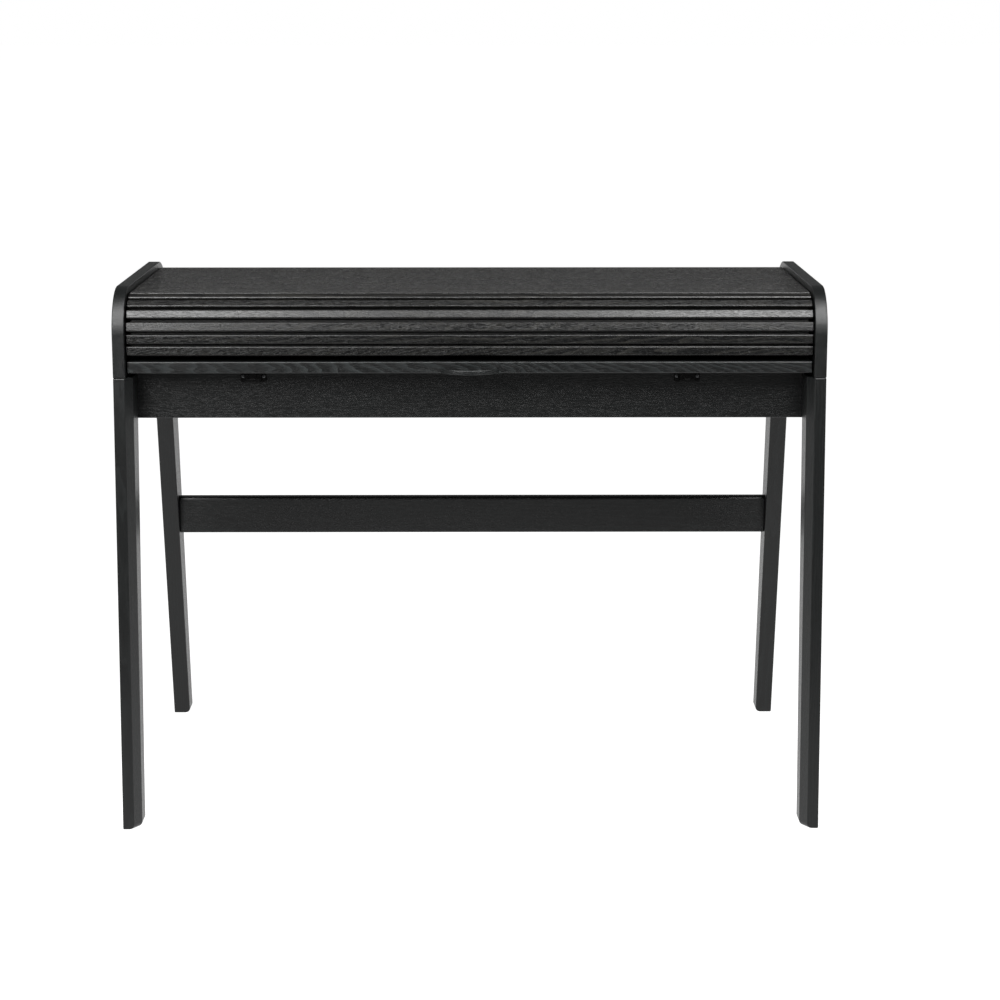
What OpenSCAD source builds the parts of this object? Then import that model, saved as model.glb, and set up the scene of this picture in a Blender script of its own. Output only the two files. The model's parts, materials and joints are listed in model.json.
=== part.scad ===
// Roll top desk on a leaning leg frame. Millimetres.
// X runs across the desk, +Y to the back, +Z up; the origin is on the floor, under the middle.

/* [Case] */
// Width over the side panels and legs
desk_w = 1100; // [900:10:1400]
// Height of a side panel, above the legs
case_h = 136; // [113:1:164]
// Depth of the side panels, front to back
case_d = 526; // [430:2:540]
// Thickness of a side panel
panel_t = 19; // [16:1:24]
// Radius of a side panel's upper front corner
front_corner_r = 70; // [60:1:90]
// Thickness of the plywood bottom and compartment boards
ply_t = 8; // [6:0.5:10]

/* [Legs] */
// Height of the legs, up to the side panels
leg_h = 714; // [590:2:860]
// Thickness of a leg, measured across the desk
leg_t = 28.5; // [24:0.5:36]
// How far the front feet stand ahead of the case
front_reach = 40; // [10:1:80]
// How far the back feet stand behind the case
back_reach = 134; // [60:1:180]
// Depth of a front leg at its top
front_leg_top = 70; // [50:1:90]
// Depth of a front leg at its foot
front_leg_foot = 52; // [36:1:70]
// Depth of a back leg at its top
back_leg_top = 76; // [50:1:90]
// Depth of a back leg at its foot
back_leg_foot = 44; // [30:1:70]
// Width of the bevel on a front leg's inner front edge
leg_bevel_w = 11; // [4:0.5:14]
// Depth of that bevel, measured front to back
leg_bevel_d = 18; // [6:1:26]
// Radius at the inner bottom edge of a foot
foot_round = 8; // [3:1:12]

/* [Rails] */
// How far the side rails, back panel and apron hang below the curtain's tail
rail_cover = 29; // [27:1:40]
// Thickness of a side rail
rail_t = 16; // [12:1:20]
// Thickness of the front apron
apron_t = 20; // [15:1:26]
// Height of the stretcher
stretcher_h = 65; // [40:1:90]
// Thickness of the stretcher
stretcher_t = 22; // [16:1:30]
// Height of the stretcher's middle above the floor
stretcher_z = 387; // [200:1:500]
// Radius of the stretcher's upper edges
stretcher_round = 6; // [2:1:10]

/* [Curtain] */
// Distance from one slat to the next
slat_pitch = 18; // [16.5:0.5:22]
// Width of a slat, along the curtain
slat_w = 14.5; // [12:0.5:15]
// Thickness of a slat
slat_t = 8; // [6:0.5:9]
// Bevel on a slat's outer edges
slat_bevel = 1.5; // [0.5:0.25:2.5]
// How far the curtain's face lies inside the panel edges
curtain_inset = 10; // [6:1:16]
// Space between a slat's end and the side panel
slat_end_gap = 2; // [1:0.5:4]
// How far the worktop comes out and the curtain runs back
travel = 216; // [150:2:220]
// How far below the leg tops the face of the curtain's tail runs
tail_drop = 44; // [40:1:54]
// Space between the curtain and the back panel
back_gap = 2; // [1.5:0.25:4]
// Depth of the guide groove in the side panel
groove_depth = 6; // [3:0.5:8]

/* [Worktop] */
// Thickness of the worktop
worktop_t = 18; // [15:1:22]
// Gap between the side panels' lower edge and the worktop
worktop_lift = 6.5; // [5:0.5:10]
// Gap between the worktop and the lowest slat
curtain_gap = 9.4; // [6:0.2:14]
// How far the worktop's back edge stays under the compartment floor when it is fully out
worktop_hold = 19; // [12:1:24]
// Width of the crescent handle
handle_w = 90; // [60:1:140]
// How far the handle stands out
handle_reach = 22; // [14:1:30]
// Thickness of the handle
handle_t = 7; // [5:0.5:12]
// Wall around the hollow in the handle
handle_wall = 3; // [2:0.5:5]
// Floor under the hollow in the handle
handle_floor = 2; // [1:0.5:3]

/* [Compartments] */
// Front to back depth of the compartments, with the inner back
compartment_d = 187; // [180:1:225]
// Space between the inner back and the middle of the curtain's back turn
inner_back_gap = 9; // [5:1:20]
// Number of dividers
divider_count = 4; // [2:1:6]
// Height of the dividers above the compartment floor
divider_h = 66; // [30:1:70]

/* [Hardware] */
// Distance from the desk's middle to the middle of a catch
catch_x = 340; // [200:5:400]
// Width of a catch's plate
catch_w = 41; // [34:1:50]
// Height of a catch's plate
catch_h = 20; // [14:1:26]
// Radius of a connector bolt's shank
bolt_r = 3; // [2.5:0.25:4]

/* [Hidden] */
$fn = 96;
over = 1; // how far a cutter runs past the face that it opens
sink = 0.01; // overlap that makes two shapes one solid
fit_gap = 0.5; // clearance of pieces that slide past each other
desk_h = leg_h + case_h;
panel_x = desk_w / 2 - panel_t; // inner face of a side panel
leg_x = desk_w / 2 - leg_t; // inner face of a leg
front_foot_y = -(front_reach + case_d + back_reach) / 2;
case_front = front_foot_y + front_reach;
case_back = case_front + case_d;
back_foot_y = case_back + back_reach;
rail_h = tail_drop + rail_cover;
rail_z = leg_h - rail_h; // underside of the rails, apron and back panel

// The curtain's guide: the line of its canvas, which is the slats' flat back.
curtain_front = case_front + curtain_inset;
curtain_top = desk_h - curtain_inset;
front_r = front_corner_r - curtain_inset; // slat faces round the front corner
back_r = (case_h - curtain_inset + tail_drop) / 2; // slat faces round the back turn
back_corner_r = back_r + curtain_inset;
front_turn = [curtain_front + front_r, curtain_top - front_r];
back_turn = [case_back - curtain_inset - back_r, curtain_top - back_r];
worktop_z = leg_h + worktop_lift;
worktop_top = worktop_z + worktop_t;
curtain_low = worktop_top + curtain_gap - (slat_pitch - slat_w) / 2;
front_canvas_r = front_r - slat_t;
back_canvas_r = back_r - slat_t;
to_corner = front_turn[1] - curtain_low;
to_top = to_corner + front_canvas_r * PI / 2;
to_back = to_top + back_turn[0] - front_turn[0];
to_bottom = to_back + back_canvas_r * PI;
slat_count = floor((to_back + back_canvas_r * PI / 2) / slat_pitch);
tail_y = back_turn[0] - max(0, slat_count * slat_pitch + travel - to_bottom);
groove_side = 1; // the groove's outer wall lies this far inside the slat faces
groove_w = slat_t;
groove_low = 2; // how far the groove runs past the lowest slat
groove_tail = 12; // how far it runs past the last slat of an open curtain

// Fixed boards around the curtain's path
apron_gap = 2.5; // apron to worktop
apron_front = case_front + front_leg_top;
apron_back = apron_front + apron_t;
apron_top = worktop_z - apron_gap;
back_panel_front = case_back - curtain_inset + back_gap;
back_panel_rise = 2; // above the middle of the back turn
back_panel_top = back_turn[1] + back_panel_rise;
floor_gap = 0.7; // worktop to compartment floor
floor_z = worktop_top + floor_gap;
floor_t = 6.5; // thin ply under the compartments
inner_back = back_turn[0] - inner_back_gap;
floor_front = inner_back - compartment_d;
worktop_back = floor_front + travel + worktop_hold;
canvas_room = 8; // inner back to the slats above it
inner_back_top = curtain_top - slat_t - canvas_room;
divider_setback = 20; // from the front of the compartment floor
runner_w = 20;
runner_h = 19.5;
runner_short = 2; // runner's end to the back of the inner back
runner_back = inner_back - runner_short;
bottom_rise = 4; // underside of the rails to the bottom panel
bottom_z = rail_z + bottom_rise;
rebate_z = rail_z - over;
stop_w = 30;
stop_d = 20;
stop_h = 16;
stop_inset = 11; // runner to stop block

// Catches, strikes and bolts
catch_plate_t = 2;
catch_box_w = 24;
catch_box_h = 14;
catch_reach = 13.5; // apron face to the front of the magnet box
screw_r = 3;
screw_head_t = 1.6;
screw_inset = 4.5; // screw centre to the end of the plate
strike_t = 2;
strike_w = 10;
strike_foot_w = 14;
strike_foot_d = 26;
strike_drop = 14; // apron's top to the tongue's lower end
bolt_len = 40;
bolt_head_r = 7;
bolt_head_t = 2;
bolt_gap = 0.2;
bolt_edge = 20; // from the rails' edges to the apron bolts

fixed_nodes = [
    "side_panel_left", "side_panel_right",
    "front_leg_left", "front_leg_right", "back_leg_left", "back_leg_right",
    "side_rail_left", "side_rail_right",
    "front_apron", "back_panel", "stretcher", "bottom_panel",
    "compartment_floor", "compartment_back", "dividers",
    "runner_left", "runner_right",
    "catch_left", "catch_right", "catch_screws", "connector_bolts",
    "worktop", "worktop_stops", "handle", "strike_left", "strike_right",
];

wood = "#2b2a28";
slat_wood = "#34312e";
inner_wood = "#242322";
metal = "#1a1a1b";

function slat_name(k) = str("slat_", k < 9 ? "0" : "", k + 1);

// How far the guide has turned, in degrees, a distance s along the canvas from its low front end
function turned(s) =
    s < to_corner ? 0
    : s < to_top ? (s - to_corner) / front_canvas_r * 180 / PI
    : s < to_back ? 90
    : s < to_bottom ? 90 + (s - to_back) / back_canvas_r * 180 / PI
    : 270;

// The canvas point [y, z] at that distance
function guide(s) =
    s < to_corner ? [curtain_front + slat_t, curtain_low + s]
    : s < to_top ? front_turn + front_canvas_r * [-cos(turned(s)), sin(turned(s))]
    : s < to_back ? [front_turn[0] + s - to_top, curtain_top - slat_t]
    : s < to_bottom ? back_turn + back_canvas_r * [-cos(turned(s)), sin(turned(s))]
    : [back_turn[0] - (s - to_bottom), back_turn[1] - back_canvas_r];

// An edge of a leg between its top and foot y, at height z
function lean(top_y, foot_y, z) = foot_y + (top_y - foot_y) * z / leg_h;
function front_leg_back(z) = lean(case_front + front_leg_top, front_foot_y + front_leg_foot, z);
function back_leg_front(z) = lean(case_back - back_leg_top, back_foot_y - back_leg_foot, z);

// A side profile in y and z, drawn out along X
module along_x(x, length) {
    translate([x, 0, 0]) rotate([90, 0, 90]) linear_extrude(length) children();
}

// A round bar along X
module bar_x(x, length, y, z, r) {
    translate([x, y, z]) rotate([0, 90, 0]) cylinder(h = length, r = r);
}

module box(low, high) {
    translate(low) cube(high - low);
}

// The right-hand piece as drawn, or its mirror image on the left
module on_side(side) {
    mirror([side < 0 ? 1 : 0, 0, 0]) children();
}

// The line [y, z] that runs a fixed distance inside the slat faces, from the front to the tail
function groove_line(inside) = concat(
    [[curtain_front + inside, curtain_low - groove_low]],
    [for (a = [0:9:90]) front_turn + (front_r - inside) * [-cos(a), sin(a)]],
    [for (a = [90:9:270]) back_turn + (back_r - inside) * [-cos(a), sin(a)]],
    [[tail_y - groove_tail, back_turn[1] - back_r + inside]]
);
function reversed(v) = [for (k = [len(v) - 1:-1:0]) v[k]];

// The groove that guides the slat ends, as a cutter at the inner face of the right panel
module guide_groove() {
    along_x(panel_x - over, groove_depth + over)
        polygon(concat(groove_line(groove_side), reversed(groove_line(groove_side + groove_w))));
}

// A board with rounded upper corners, standing on the leg tops
module side_panel() {
    back_c = [case_back - back_corner_r, desk_h - back_corner_r];
    front_c = [case_front + front_corner_r, desk_h - front_corner_r];
    difference() {
        union() {
            box([panel_x, case_front, leg_h], [desk_w / 2, front_c[0], front_c[1]]);
            box([panel_x, front_c[0], leg_h], [desk_w / 2, back_c[0], desk_h]);
            box([panel_x, back_c[0], leg_h], [desk_w / 2, case_back, back_c[1]]);
            bar_x(panel_x, panel_t, front_c[0], front_c[1], front_corner_r);
            bar_x(panel_x, panel_t, back_c[0], back_c[1], back_corner_r);
        }
        box([panel_x - over, case_front - over, 0], [desk_w / 2 + over, case_back + over, leg_h]);
        guide_groove();
    }
}

// What a cutter takes off the inner bottom edge of a foot to round it
module foot_edge(y0, y1) {
    translate([leg_x - over, y0 - over, -over]) {
        difference() {
            cube([foot_round + over, y1 - y0 + 2 * over, foot_round + over]);
            translate([foot_round + over, -over, foot_round + over])
                rotate([-90, 0, 0]) cylinder(h = y1 - y0 + 4 * over, r = foot_round);
        }
    }
}

module front_leg() {
    tilt = atan(front_reach / leg_h);
    run = leg_h / cos(tilt);
    difference() {
        along_x(leg_x, leg_t)
            polygon([
                [front_foot_y, 0],
                [front_foot_y + front_leg_foot, 0],
                [case_front + front_leg_top, leg_h],
                [case_front, leg_h],
            ]);
        // the bevel follows the leaning front edge
        translate([leg_x, front_foot_y, 0])
            rotate([-tilt, 0, 0])
                translate([0, 0, -leg_t])
                    linear_extrude(run + 2 * leg_t)
                        polygon([[-over, -over], [leg_bevel_w + over * leg_bevel_w / leg_bevel_d, -over],
                            [-over, leg_bevel_d + over * leg_bevel_d / leg_bevel_w]]);
        foot_edge(front_foot_y, front_foot_y + front_leg_foot);
    }
}

// The top of a back leg is rebated to the side panel's face, so that the curtain runs past it
module back_leg() {
    difference() {
        along_x(leg_x, leg_t)
            polygon([
                [back_foot_y - back_leg_foot, 0],
                [back_foot_y, 0],
                [case_back, leg_h],
                [case_back - back_leg_top, leg_h],
            ]);
        box([leg_x - over, case_front, rebate_z], [panel_x, back_foot_y, leg_h + over]);
        guide_groove();
        foot_edge(back_foot_y - back_leg_foot, back_foot_y);
        stretcher_bolt(bolt_gap);
    }
}

module side_rail() {
    difference() {
        along_x(panel_x, rail_t)
            polygon([
                [front_leg_back(rail_z), rail_z],
                [back_leg_front(rail_z), rail_z],
                [back_leg_front(leg_h), leg_h],
                [front_leg_back(leg_h), leg_h],
            ]);
        guide_groove();
        apron_bolts(bolt_gap);
    }
}

// A bolt lying along X, head outwards at x, grown all round by a gap
module bolt(x, y, z, gap) {
    bar_x(x - bolt_len - gap, bolt_len + gap + sink, y, z, bolt_r + gap);
    bar_x(x, bolt_head_t + gap, y, z, bolt_head_r + gap);
}

module apron_bolts(gap) {
    for (rise = [bolt_edge, rail_h - bolt_edge])
        bolt(panel_x + rail_t - bolt_head_t, apron_front + apron_t / 2, rail_z + rise, gap);
}

function stretcher_y() = (back_leg_front(stretcher_z) + lean(case_back, back_foot_y, stretcher_z)) / 2;

module stretcher_bolt(gap) {
    bolt(desk_w / 2 - bolt_head_t, stretcher_y(), stretcher_z, gap);
}

module connector_bolts() {
    color(metal) for (side = [-1, 1]) on_side(side) {
        apron_bolts(0);
        stretcher_bolt(0);
    }
}

module front_apron() {
    color(wood) difference() {
        box([-panel_x, apron_front, rail_z], [panel_x, apron_back, apron_top]);
        for (side = [-1, 1]) on_side(side) apron_bolts(bolt_gap);
    }
}

module back_panel() {
    color(wood) box([-panel_x, back_panel_front, rail_z], [panel_x, case_back, back_panel_top]);
}

// A rail between the back legs with rounded upper edges
module stretcher() {
    y = stretcher_y();
    z0 = stretcher_z - stretcher_h / 2;
    z1 = stretcher_z + stretcher_h / 2;
    edge_y = stretcher_t / 2 - stretcher_round;
    color(wood) difference() {
        union() {
            box([-leg_x, y - stretcher_t / 2, z0], [leg_x, y + stretcher_t / 2, z1 - stretcher_round]);
            box([-leg_x, y - edge_y, z0], [leg_x, y + edge_y, z1]);
            for (side = [-1, 1])
                bar_x(-leg_x, 2 * leg_x, y + side * edge_y, z1 - stretcher_round, stretcher_round);
        }
        for (side = [-1, 1]) on_side(side) stretcher_bolt(bolt_gap);
    }
}

module bottom_panel() {
    color(inner_wood)
        box([-panel_x, apron_back, bottom_z], [panel_x, back_panel_front, bottom_z + ply_t]);
}

module compartment_floor() {
    color(inner_wood) box([-panel_x, floor_front, floor_z], [panel_x, inner_back, floor_z + floor_t]);
}

module compartment_back() {
    color(inner_wood)
        box([-panel_x, inner_back - ply_t, floor_z + floor_t], [panel_x, inner_back, inner_back_top]);
}

module dividers() {
    bay = 2 * panel_x / (divider_count + 1);
    y0 = floor_front + divider_setback;
    z0 = floor_z + floor_t;
    color(inner_wood) for (k = [1:divider_count]) {
        x = -panel_x + k * bay;
        box([x - ply_t / 2, y0, z0], [x + ply_t / 2, inner_back - ply_t, z0 + divider_h]);
    }
}

// A strip on the rail and panel that the worktop slides on
module runner() {
    top = worktop_z - fit_gap;
    box([panel_x - runner_w, apron_back, top - runner_h], [panel_x, runner_back, top]);
}

module worktop() {
    x = panel_x - slat_end_gap;
    color(wood)
        box([-x, curtain_front, worktop_z], [x, worktop_back, worktop_top]);
}

// Two blocks under the worktop that meet the back of the apron when it is fully out
module worktop_stops() {
    y = apron_back + travel + fit_gap;
    x = panel_x - runner_w - stop_inset;
    color(inner_wood) for (side = [-1, 1]) on_side(side)
        box([x - stop_w, y, worktop_z - stop_h], [x, y + stop_d, worktop_z]);
}

// A crescent lip, hollowed on top for the fingers
module handle() {
    r = (pow(handle_w / 2, 2) + pow(handle_reach, 2)) / (2 * handle_reach);
    centre_y = curtain_front - handle_reach + r;
    top = worktop_z + handle_t;
    color(wood) difference() {
        translate([0, centre_y, worktop_z]) cylinder(h = handle_t, r = r);
        translate([0, centre_y, worktop_z + handle_floor]) cylinder(h = handle_t, r = r - handle_wall);
        box([-2 * r, curtain_front, worktop_z - over], [2 * r, curtain_front + 2 * r, top + over]);
    }
}

// A magnet box on a plate, with two screw holes
module catch() {
    z0 = apron_top - catch_h;
    y = apron_front - catch_plate_t;
    box_z = z0 + (catch_h - catch_box_h) / 2;
    color(metal) difference() {
        union() {
            box([catch_x - catch_w / 2, y, z0], [catch_x + catch_w / 2, apron_front, apron_top]);
            box([catch_x - catch_box_w / 2, apron_front - catch_reach, box_z],
                [catch_x + catch_box_w / 2, y + sink, box_z + catch_box_h]);
        }
        at_catch_screws() cylinder(h = catch_plate_t + 2 * over, r = screw_r / 2 + 0.1);
    }
}

// Places a piece that points backwards at each screw of the right-hand catch
module at_catch_screws() {
    for (end = [-1, 1])
        translate([catch_x + end * (catch_w / 2 - screw_inset), apron_front - catch_plate_t - over,
            apron_top - catch_h / 2]) rotate([-90, 0, 0]) children();
}

module catch_screws() {
    color("silver") for (side = [-1, 1]) on_side(side) at_catch_screws() {
        translate([0, 0, over - screw_head_t]) cylinder(h = screw_head_t, r = screw_r);
        translate([0, 0, over - sink]) cylinder(h = catch_plate_t, r = screw_r / 2);
    }
}

// An angle under the worktop whose tongue meets the catch
module strike() {
    front = apron_front - catch_reach - fit_gap;
    color(metal) {
        box([catch_x - strike_w / 2, front - strike_t, apron_top - strike_drop],
            [catch_x + strike_w / 2, front, worktop_z - strike_t + sink]);
        box([catch_x - strike_foot_w / 2, front - strike_foot_d, worktop_z - strike_t],
            [catch_x + strike_foot_w / 2, front, worktop_z]);
    }
}

// One slat, flat at the back where the canvas is glued and bevelled on its outer edges
module slat(k) {
    s = (k + 0.5) * slat_pitch;
    at = guide(s);
    half = slat_w / 2;
    end = panel_x - slat_end_gap;
    color(slat_wood) translate([0, at[0], at[1]]) rotate([-turned(s), 0, 0])
        along_x(-end, 2 * end)
            polygon([
                [0, -half],
                [slat_bevel - slat_t, -half],
                [-slat_t, slat_bevel - half],
                [-slat_t, half - slat_bevel],
                [slat_bevel - slat_t, half],
                [0, half],
            ]);
}

color(wood) on_side(-1) side_panel();  // side_panel_left
color(wood) side_panel();  // side_panel_right
color(wood) on_side(-1) front_leg();  // front_leg_left
color(wood) front_leg();  // front_leg_right
color(wood) on_side(-1) back_leg();  // back_leg_left
color(wood) back_leg();  // back_leg_right
color(wood) on_side(-1) side_rail();  // side_rail_left
color(wood) side_rail();  // side_rail_right
front_apron();
back_panel();
stretcher();
bottom_panel();
compartment_floor();
compartment_back();
dividers();
color(inner_wood) on_side(-1) runner();  // runner_left
color(inner_wood) runner();  // runner_right
on_side(-1) catch();  // catch_left
catch();  // catch_right
catch_screws();
connector_bolts();
worktop();
worktop_stops();
handle();
on_side(-1) strike();  // strike_left
strike();  // strike_right
for (k = [0:slat_count - 1]) slat(k);
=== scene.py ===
"""A roll top desk in black-stained ash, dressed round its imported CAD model. Metres, +Z up, +Y to the back.

Every wooden piece is an outline with rounded corners carried along a straight line, drawn in at both
ends so that no edge is sharp. A piece takes its place from the CAD node that it stands for.
"""
import json
import math

import bpy
import numpy as np
from mathutils.geometry import convex_hull_2d
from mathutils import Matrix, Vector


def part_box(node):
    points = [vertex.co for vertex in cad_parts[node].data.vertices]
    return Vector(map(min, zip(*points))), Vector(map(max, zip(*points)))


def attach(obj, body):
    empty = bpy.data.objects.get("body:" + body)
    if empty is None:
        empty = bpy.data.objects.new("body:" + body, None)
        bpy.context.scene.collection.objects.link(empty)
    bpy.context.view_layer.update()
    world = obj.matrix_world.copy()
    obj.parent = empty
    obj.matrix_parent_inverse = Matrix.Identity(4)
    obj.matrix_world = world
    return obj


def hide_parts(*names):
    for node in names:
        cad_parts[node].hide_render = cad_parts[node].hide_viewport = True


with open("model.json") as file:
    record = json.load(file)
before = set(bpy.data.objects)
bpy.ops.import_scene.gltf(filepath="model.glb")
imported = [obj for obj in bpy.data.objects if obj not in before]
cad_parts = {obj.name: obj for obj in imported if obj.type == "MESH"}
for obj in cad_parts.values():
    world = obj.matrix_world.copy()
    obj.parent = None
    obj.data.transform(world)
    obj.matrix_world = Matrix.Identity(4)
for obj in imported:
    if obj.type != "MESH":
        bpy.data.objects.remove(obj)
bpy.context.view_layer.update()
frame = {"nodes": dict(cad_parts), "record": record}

MM = 0.001
X, Y, Z = 0, 1, 2

# How far each kind of piece has its edges rounded
CASE_EASE = 1.6 * MM
LEG_EASE = 1.8 * MM
BOARD_EASE = 1.2 * MM
SLAT_EASE = 1.4 * MM
SLAT_BACK_EASE = 0.5 * MM
METAL_EASE = 0.5 * MM

# Shapes that the boxes of the CAD nodes don't give
FRONT_CORNER = 70 * MM  # radius of a side panel's upper front corner
BACK_CORNER = 95 * MM  # radius of its upper back corner
GROOVE_INSET = 11 * MM  # panel's edge to the outer wall of the slats' groove
GROOVE_WIDTH = 8 * MM
GROOVE_DEPTH = 6 * MM
GROOVE_LOW = 23 * MM  # the groove's front end, above the worktop's underside
GROOVE_TAIL = 0.3  # length of the groove's tail under the back turn
BEVEL_WIDTH = 11 * MM  # the front legs' inner bevel, across the desk
BEVEL_DEPTH = 18 * MM  # the same bevel, front to back
FOOT_ROUND = 8 * MM  # radius at the inner bottom edge of a foot
STEP_HEIGHT = 640 * MM  # where the back legs step back to the panel's face
STRETCHER_ROUND = 6 * MM
DIVIDER_ROUND = 14 * MM  # radius of a divider's upper front corner
STOP_WIDTH = 30 * MM  # width of each block under the worktop
PLATE_THICK = 2 * MM  # back plate of a catch
BOLT_RECESS = 7.2 * MM  # radius of the hole that a bolt head sits in
BOLT_SUNK = 2.2 * MM  # depth of that hole
RECESS_EASE = 0.2 * MM
CANVAS_HALF = 8.7 * MM  # half the width of a slat's strip of canvas
CANVAS_THICK = 0.7 * MM
CANVAS_SHORT = 6 * MM  # how far the strip stops short of each end of its slat

chance = np.random.default_rng(11)


# ---- shapes -------------------------------------------------------------------------------------

def unit(v):
    """A vector scaled to length one."""
    v = np.asarray(v, float)
    return v / np.linalg.norm(v)


def box(node):
    """The lowest and highest corner of a CAD node as two arrays."""
    return tuple(np.array(corner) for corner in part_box(node))


def points_of(node):
    """All the vertices of a CAD node as rows of x, y and z."""
    mesh = frame["nodes"][node].data
    co = np.empty(len(mesh.vertices) * 3, np.float32)
    mesh.vertices.foreach_get("co", co)
    return co.reshape(-1, 3).astype(float)


def rounded(corners, radii, steps=4):
    """A closed outline, counter-clockwise, with an arc at each corner, and its outward normals.

    An arc's centre lies a radius inside both of its edges, and its normal turns in even steps from one
    edge's to the next's. steps is the number of chords in an arc, one number or one for each corner.
    """
    corners = np.asarray(corners, float)
    radii = np.broadcast_to(radii, len(corners))
    steps = np.broadcast_to(steps, len(corners))
    edges = np.roll(corners, -1, 0) - corners
    edges /= np.linalg.norm(edges, axis=1)[:, None]
    outward = np.stack([edges[:, 1], -edges[:, 0]], 1)
    points, normals = [], []
    for corner, before, after, radius, count in zip(corners, np.roll(outward, 1, 0), outward, radii, steps):
        first = math.atan2(before[1], before[0])
        turn = (math.atan2(after[1], after[0]) - first) % (2 * math.pi)
        angle = first + turn * np.linspace(0, 1, count + 1)
        normal = np.stack([np.cos(angle), np.sin(angle)], 1)
        centre = corner - radius * (before + after) / (1 + before @ after)
        points.append(centre + radius * normal)
        normals.append(normal)
    return np.concatenate(points), np.concatenate(normals)


def carried(outline, start, end, ease, axis=X, steps=3):
    """Rings of an outline carried straight from start to end along an axis.

    Near each end the ring is drawn in along its normals by ease * (1 - sin(a)) while it has moved
    ease * (1 - cos(a)) along, with a from nought to a quarter turn, which rounds the end's edges.
    """
    points, normals = outline
    a = np.linspace(0, math.pi / 2, steps + 1)
    moved = ease * (1 - np.cos(a))
    drawn = ease * (1 - np.sin(a))
    stations = np.concatenate([start + moved, (end - moved)[::-1]])
    inset = np.concatenate([drawn, drawn[::-1]])
    rings = points[None] - normals[None] * inset[:, None, None]
    return stacked(rings, stations, axis)


def stacked(rings, stations, axis):
    """Flat rings placed at their stations along an axis, as one array of rings, points and x, y, z."""
    grid = np.empty(rings.shape[:2] + (3,))
    grid[..., axis] = stations[:, None]
    grid[..., (axis + 1) % 3] = rings[..., 0]
    grid[..., (axis + 2) % 3] = rings[..., 1]
    return grid


def faces_of(grid, first):
    """Quads between neighbouring rings and a flat face over each end, counting vertices from first."""
    index = first + np.arange(grid.shape[0] * grid.shape[1]).reshape(grid.shape[:2])
    after = np.roll(index, -1, 1)
    quads = np.stack([index[:-1], after[:-1], after[1:], index[1:]], -1).reshape(-1, 4)
    return quads.tolist() + [index[0, ::-1].tolist(), index[-1].tolist()]


def solid(name, grids):
    """One object of closed solids, each a grid of rings, with shading that follows its large faces."""
    faces, first = [], 0
    for grid in grids:
        faces += faces_of(grid, first)
        first += grid.shape[0] * grid.shape[1]
    mesh = bpy.data.meshes.new(name)
    mesh.from_pydata(np.concatenate([g.reshape(-1, 3) for g in grids]).tolist(), [], faces)
    mesh.shade_smooth()
    made = bpy.data.objects.new(name, mesh)
    bpy.context.scene.collection.objects.link(made)
    return made


def mirrored(grid):
    """The left-hand copy of a right-hand grid, with its points in reverse so that it faces outwards."""
    return (grid * [-1, 1, 1])[:, ::-1]


def cut(piece, grids):
    """Takes closed solids out of a piece."""
    tool = solid(piece.name + "_cutter", grids)
    modifier = piece.modifiers.new("cut", "BOOLEAN")
    modifier.object = tool
    modifier.operation = "DIFFERENCE"
    modifier.solver = "EXACT"
    bpy.context.view_layer.update()
    done = bpy.data.meshes.new_from_object(piece.evaluated_get(bpy.context.evaluated_depsgraph_get()))
    piece.modifiers.clear()
    piece.data = done
    piece.data.shade_smooth()
    bpy.data.objects.remove(tool)


def disc(centre, radius, count=48):
    """A circle as an outline with its normals, for round bars and holes."""
    a = np.linspace(0, 2 * math.pi, count, endpoint=False)
    normal = np.stack([np.cos(a), np.sin(a)], 1)
    return np.asarray(centre) + radius * normal, normal


def finished(piece, material, body="root", stands_for=()):
    """Gives a piece its material and evenly shaded faces, and sets it on its body in the frame."""
    piece.data.materials.clear()
    piece.data.materials.append(material)
    shading = piece.modifiers.new("shading", "WEIGHTED_NORMAL")
    shading.weight = 60
    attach(piece, body)
    if stands_for:
        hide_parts(*stands_for)
    return piece


def grained(piece, along, face=(0, 0, 1), lean=0.03):
    """Writes where each point lies in the log that the piece was sawn from, as an attribute.

    Its first number runs along the grain and the other two across it. The log's centre lies 50 to
    120 mm below the face and up to 60 mm to one side, and its line leans a little from the board's.
    """
    along = unit(along)
    face = unit(np.asarray(face) - along * (np.asarray(face) @ along))
    across = np.cross(face, along)
    tilt = chance.uniform(-lean, lean, 2)
    shift = [chance.uniform(-2, 2), chance.uniform(-60, 60) * MM, chance.uniform(50, 120) * MM]
    co = np.empty(len(piece.data.vertices) * 3, np.float32)
    piece.data.vertices.foreach_get("co", co)
    co = co.reshape(-1, 3)
    own = (co - co.mean(0)) @ np.stack([along, across, face], 1)
    own[:, 1] += own[:, 0] * tilt[0]
    own[:, 2] += own[:, 0] * tilt[1]
    own += shift
    layer = piece.data.attributes.new("grain", "FLOAT_VECTOR", "POINT")
    layer.data.foreach_set("vector", own.astype(np.float32).ravel())


# ---- materials ----------------------------------------------------------------------------------

def linear(code):
    """An sRGB hex colour as linear red, green, blue and alpha."""
    s = np.array([int(code[k:k + 2], 16) for k in (1, 3, 5)]) / 255
    rgb = np.where(s <= 0.04045, s / 12.92, ((s + 0.055) / 1.055) ** 2.4)
    return (*rgb.tolist(), 1.0)


def add(tree, kind, inputs=None, **settings):
    """Adds a node: settings are its own properties, inputs are values or sockets by name or number."""
    made = tree.nodes.new("ShaderNode" + kind)
    for key, value in settings.items():
        setattr(made, key, value)
    for key, value in (inputs or {}).items():
        if isinstance(value, bpy.types.NodeSocket):
            tree.links.new(value, made.inputs[key])
        else:
            made.inputs[key].default_value = value
    return made


def new_material(name):
    """An empty node material with its principled shader."""
    made = bpy.data.materials.new(name)
    made.use_nodes = True
    return made, made.node_tree, made.node_tree.nodes["Principled BSDF"]


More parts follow.
